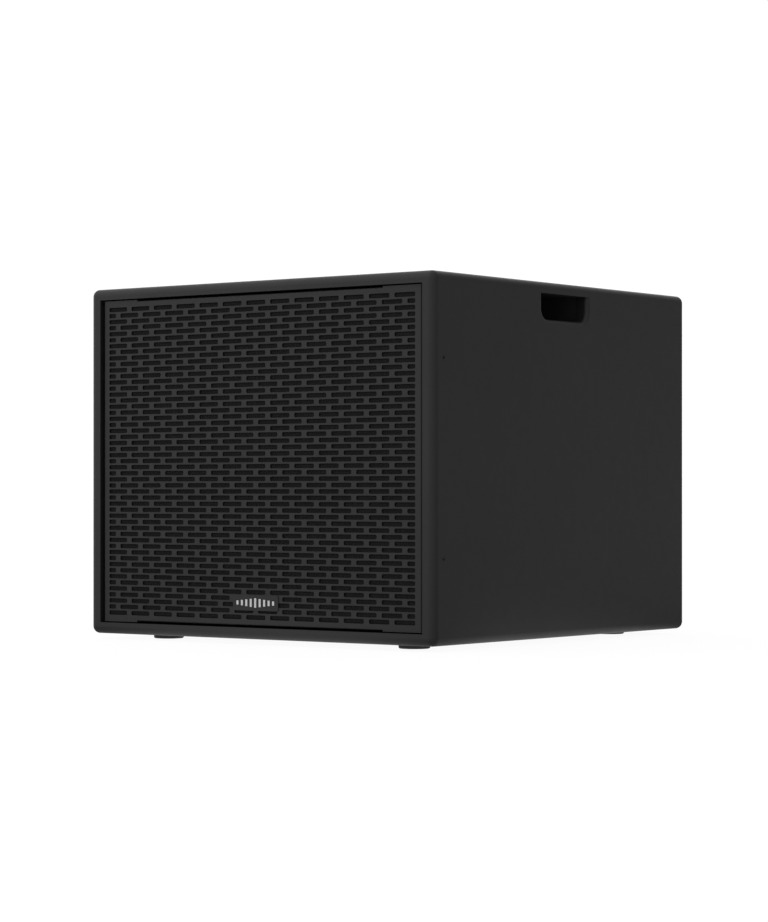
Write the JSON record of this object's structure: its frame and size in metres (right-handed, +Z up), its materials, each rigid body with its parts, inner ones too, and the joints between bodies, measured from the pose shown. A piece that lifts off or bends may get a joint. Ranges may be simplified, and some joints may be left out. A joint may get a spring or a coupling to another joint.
{
  "type": "subwoofer",
  "caption": "Active bass-reflex subwoofer: matte black plywood cabinet, slotted steel grille, side hand holes, rubber feet and a rear amplifier plate.",
  "frame": {"origin": "on the floor under the middle of the cabinet", "axes": "+Z up, the grille faces -Y, +X is the right-hand side as seen from the front"},
  "size_m": [0.57, 0.59, 0.467],
  "materials": {
    "cabinet_paint": "black water-based texture paint, matte, on birch plywood",
    "baffle_paint": "flat black paint on birch plywood",
    "bare_plywood": "unpainted birch plywood with its layers showing",
    "grille_coat": "black powder coat, satin with a fine grain",
    "badge_coat": "black powder coat",
    "badge_print": "light grey screen print",
    "foam": "black open-cell acoustic foam",
    "wadding": "off-white polyester wadding",
    "rubber": "black rubber, slightly dusty",
    "black_screw": "black phosphate",
    "zinc_steel": "zinc-plated steel",
    "black_steel": "black powder-coated steel",
    "black_plastic": "black moulded ABS, lightly sparked",
    "cast_alloy": "die-cast alloy with black powder coat",
    "black_anodised": "black anodised extrusion",
    "cone_pulp": "pressed paper pulp, coated",
    "roll_cloth": "doped cloth",
    "spider_cloth": "resin-stiffened cotton",
    "former_film": "polyimide and glass fibre",
    "copper": "enamelled copper",
    "ferrite": "sintered ferrite",
    "circuit_board": "green solder resist on glass-epoxy",
    "transformer_wrap": "yellow polyester tape over copper windings",
    "capacitor_sleeve": "dark blue sleeve",
    "grey_plastic": "light grey nylon",
    "rocker_red": "red polycarbonate",
    "light_guide": "milky green light guide"
  },
  "bodies": {
    "cabinet": {"top_panel": "cabinet_paint", "bottom_panel": "cabinet_paint", "left_panel": "cabinet_paint", "right_panel": "cabinet_paint", "baffle": "baffle_paint", "back_panel": "cabinet_paint", "window_brace": "bare_plywood", "handle_cup_left": "black_plastic", "handle_cup_right": "black_plastic", "pole_socket": "black_steel", "pole_socket_screws": "black_screw", "port_tubes": "black_plastic", "damping_pads": "wadding", "foot_front_left": "rubber", "foot_front_right": "rubber", "foot_rear_left": "rubber", "foot_rear_right": "rubber", "foot_screws": "zinc_steel", "grille": "grille_coat", "grille_foam": "foam", "grille_screws": "black_screw", "grille_spacers": "rubber", "badge_plate": "badge_coat", "badge_bars": "badge_print", "basket": "cast_alloy", "surround": "roll_cloth", "spider": "spider_cloth", "front_plate": "zinc_steel", "magnet": "ferrite", "pole_plate": "zinc_steel", "terminal_block": "black_plastic", "tinsel_leads": "copper", "driver_gasket": "rubber", "driver_screws": "black_screw", "driver_nuts": "zinc_steel", "amp_plate": "black_steel", "amp_screws": "black_screw", "heat_sink": "black_anodised", "amp_box": "zinc_steel", "amp_board": "circuit_board", "transformer": "transformer_wrap", "capacitors": "capacitor_sleeve", "pot_bodies": "zinc_steel", "phase_switch": "zinc_steel", "power_switch": "black_plastic", "mains_inlet": "black_plastic", "input_socket": "black_steel", "link_socket": "black_steel", "status_lights": "light_guide", "speaker_lead": "rubber"},
    "level_knob": {"level_knob": "black_plastic"},
    "crossover_knob": {"crossover_knob": "black_plastic"},
    "phase_slider": {"phase_slider": "grey_plastic"},
    "power_rocker": {"power_rocker": "rocker_red"},
    "fuse_drawer": {"fuse_drawer": "black_plastic"},
    "input_latch": {"input_latch": "zinc_steel"},
    "moving_coil": {"cone": "cone_pulp", "dust_cap": "cone_pulp", "coil_former": "former_film", "voice_coil": "copper"}
  },
  "joints": [
    {"name": "cone_travel", "type": "slide", "parent": "cabinet", "child": "moving_coil", "axis": [0, -1, 0], "range_m": [-0.008, 0.008], "stiffness_N_per_m": 9500, "deforming": ["surround", "spider", "tinsel_leads"]},
    {"name": "level_turn", "type": "hinge", "parent": "cabinet", "child": "level_knob", "pos_m": [-0.055, 0.275, 0.239], "axis": [0, 1, 0], "range_deg": [-150, 150]},
    {"name": "crossover_turn", "type": "hinge", "parent": "cabinet", "child": "crossover_knob", "pos_m": [0, 0.275, 0.239], "axis": [0, 1, 0], "range_deg": [-150, 150]},
    {"name": "phase_slide", "type": "slide", "parent": "cabinet", "child": "phase_slider", "axis": [-1, 0, 0], "range_m": [0, 0.004]},
    {"name": "power_rock", "type": "hinge", "parent": "cabinet", "child": "power_rocker", "pos_m": [0.052, 0.269, 0.112], "axis": [1, 0, 0], "range_deg": [-16, 0]},
    {"name": "fuse_drawer_pull", "type": "slide", "parent": "cabinet", "child": "fuse_drawer", "axis": [0, 1, 0], "range_m": [0, 0.012]},
    {"name": "latch_press", "type": "slide", "parent": "cabinet", "child": "input_latch", "axis": [0, -1, 0], "range_m": [0, 0.0015], "stiffness_N_per_m": 800, "springref_m": -0.0005}
  ]
}
